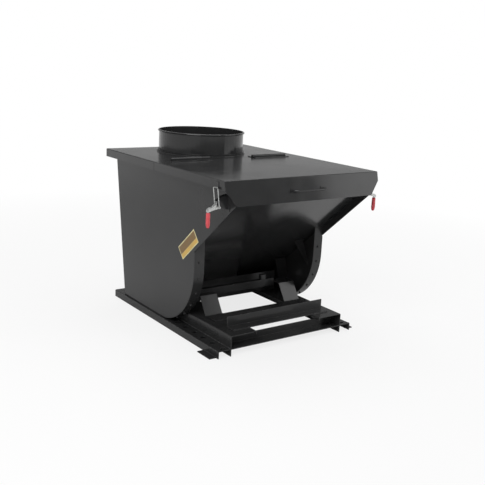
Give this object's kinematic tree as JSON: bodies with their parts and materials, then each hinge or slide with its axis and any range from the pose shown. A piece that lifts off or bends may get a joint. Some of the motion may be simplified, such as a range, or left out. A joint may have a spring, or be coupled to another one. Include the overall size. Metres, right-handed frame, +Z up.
{
  "type": "self-dumping forklift hopper",
  "caption": "Steel tipping hopper on a slotted rocker base with fork pockets, a split lid with a round inlet collar, a hinged front lid and side toggle latches.",
  "frame": {"origin": "centre of the overall box in plan, at floor level under the base", "axes": "+Z up, the hopper tips towards -Y, +X towards the right side seen from the rear"},
  "size_m": [1.1906, 1.4046, 1.118],
  "materials": {
    "centre_plug_left": "gloss enamel",
    "centre_plug_right": "gloss enamel",
    "chute_floor": "gloss enamel",
    "chute_gusset_left": "gloss enamel",
    "chute_gusset_right": "gloss enamel",
    "chute_strut_left": "gloss enamel",
    "chute_strut_right": "gloss enamel",
    "collar_ring": "gloss enamel",
    "foot_plate_left": "gloss enamel",
    "foot_plate_right": "gloss enamel",
    "front_cross_angle": "gloss enamel",
    "front_crossbar": "gloss enamel",
    "front_lid": "gloss enamel",
    "hinge_fixed_leaf_left": "gloss enamel",
    "hinge_fixed_leaf_right": "gloss enamel",
    "hinge_moving_leaf_left": "gloss enamel",
    "hinge_moving_leaf_right": "gloss enamel",
    "hinge_pin_left": "zinc plated",
    "hinge_pin_right": "zinc plated",
    "inlet_collar": "gloss enamel",
    "keeper_left": "zinc plated",
    "keeper_right": "zinc plated",
    "label_plate": "satin film",
    "latch_base_left": "zinc plated",
    "latch_base_right": "zinc plated",
    "latch_grip_left": "dipped vinyl",
    "latch_grip_right": "dipped vinyl",
    "latch_hook_left": "zinc plated",
    "latch_hook_right": "zinc plated",
    "latch_lever_left": "zinc plated",
    "latch_lever_right": "zinc plated",
    "latch_pivot_left": "zinc plated",
    "latch_pivot_right": "zinc plated",
    "leg_tie_plate": "gloss enamel",
    "lid_handle": "gloss enamel",
    "lip_angle": "gloss enamel",
    "mid_cross_angle": "gloss enamel",
    "rail_left": "gloss enamel",
    "rail_right": "gloss enamel",
    "rear_cross_tie": "gloss enamel",
    "rear_lid": "gloss enamel",
    "rear_wall": "gloss enamel",
    "rim_angle_left": "gloss enamel",
    "rim_angle_right": "gloss enamel",
    "rocker_left": "gloss enamel",
    "rocker_right": "gloss enamel",
    "side_plate_left": "gloss enamel",
    "side_plate_right": "gloss enamel",
    "stop_bar": "gloss enamel",
    "stop_leg_left": "gloss enamel",
    "stop_leg_right": "gloss enamel",
    "stop_lug": "gloss enamel"
  },
  "bodies": {
    "base": {"foot_plate_left": "foot_plate_left", "foot_plate_right": "foot_plate_right", "front_cross_angle": "front_cross_angle", "front_crossbar": "front_crossbar", "leg_tie_plate": "leg_tie_plate", "mid_cross_angle": "mid_cross_angle", "rail_left": "rail_left", "rail_right": "rail_right", "rear_cross_tie": "rear_cross_tie", "stop_bar": "stop_bar", "stop_leg_left": "stop_leg_left", "stop_leg_right": "stop_leg_right", "stop_lug": "stop_lug"},
    "carriage": {"centre_plug_left": "centre_plug_left", "centre_plug_right": "centre_plug_right"},
    "lid": {"front_lid": "front_lid", "hinge_moving_leaf_left": "hinge_moving_leaf_left", "hinge_moving_leaf_right": "hinge_moving_leaf_right", "keeper_left": "keeper_left", "keeper_right": "keeper_right", "lid_handle": "lid_handle"},
    "lever_left": {"latch_lever_left": "latch_lever_left", "latch_grip_left": "latch_grip_left"},
    "hook_left": {"latch_hook_left": "latch_hook_left"},
    "lever_right": {"latch_lever_right": "latch_lever_right", "latch_grip_right": "latch_grip_right"},
    "hook_right": {"latch_hook_right": "latch_hook_right"},
    "hopper": {"chute_floor": "chute_floor", "chute_gusset_left": "chute_gusset_left", "chute_gusset_right": "chute_gusset_right", "chute_strut_left": "chute_strut_left", "chute_strut_right": "chute_strut_right", "collar_ring": "collar_ring", "hinge_fixed_leaf_left": "hinge_fixed_leaf_left", "hinge_fixed_leaf_right": "hinge_fixed_leaf_right", "hinge_pin_left": "hinge_pin_left", "hinge_pin_right": "hinge_pin_right", "inlet_collar": "inlet_collar", "label_plate": "label_plate", "latch_base_left": "latch_base_left", "latch_base_right": "latch_base_right", "latch_pivot_left": "latch_pivot_left", "latch_pivot_right": "latch_pivot_right", "lip_angle": "lip_angle", "rear_lid": "rear_lid", "rear_wall": "rear_wall", "rim_angle_left": "rim_angle_left", "rim_angle_right": "rim_angle_right", "rocker_left": "rocker_left", "rocker_right": "rocker_right", "side_plate_left": "side_plate_left", "side_plate_right": "side_plate_right"}
  },
  "joints": [
    {"name": "hopper_travel", "type": "slide", "parent": "base", "child": "carriage", "axis": [0, -1, 0], "range_m": [0, 0.37]},
    {"name": "hopper_tilt", "type": "hinge", "parent": "carriage", "child": "hopper", "pos_m": [0, 0.08023, 0.4148], "axis": [1, 0, 0], "range_deg": [0, 57]},
    {"name": "lid_hinge", "type": "hinge", "parent": "hopper", "child": "lid", "pos_m": [0, 0.07423, 0.9913], "axis": [-1, 0, 0], "range_deg": [0, 115]},
    {"name": "latch_lever_left", "type": "hinge", "parent": "hopper", "child": "lever_left", "pos_m": [-0.531, -0.58577, 0.862], "axis": [0, 1, 0], "range_deg": [0, 105]},
    {"name": "latch_hook_left", "type": "hinge", "parent": "lever_left", "child": "hook_left", "pos_m": [-0.531, -0.58577, 0.842], "axis": [0, 1, 0], "range_deg": [-105, 0]},
    {"name": "latch_lever_right", "type": "hinge", "parent": "hopper", "child": "lever_right", "pos_m": [0.531, -0.58577, 0.862], "axis": [0, -1, 0], "range_deg": [0, 105]},
    {"name": "latch_hook_right", "type": "hinge", "parent": "lever_right", "child": "hook_right", "pos_m": [0.531, -0.58577, 0.842], "axis": [0, -1, 0], "range_deg": [-105, 0]}
  ],
  "couplings": [
    {"joint": "hopper_travel", "follows": "hopper_tilt", "m_per_rad": 0.37},
    {"joint": "latch_hook_left", "follows": "latch_lever_left", "ratio": -1},
    {"joint": "latch_hook_right", "follows": "latch_lever_right", "ratio": -1}
  ]
}
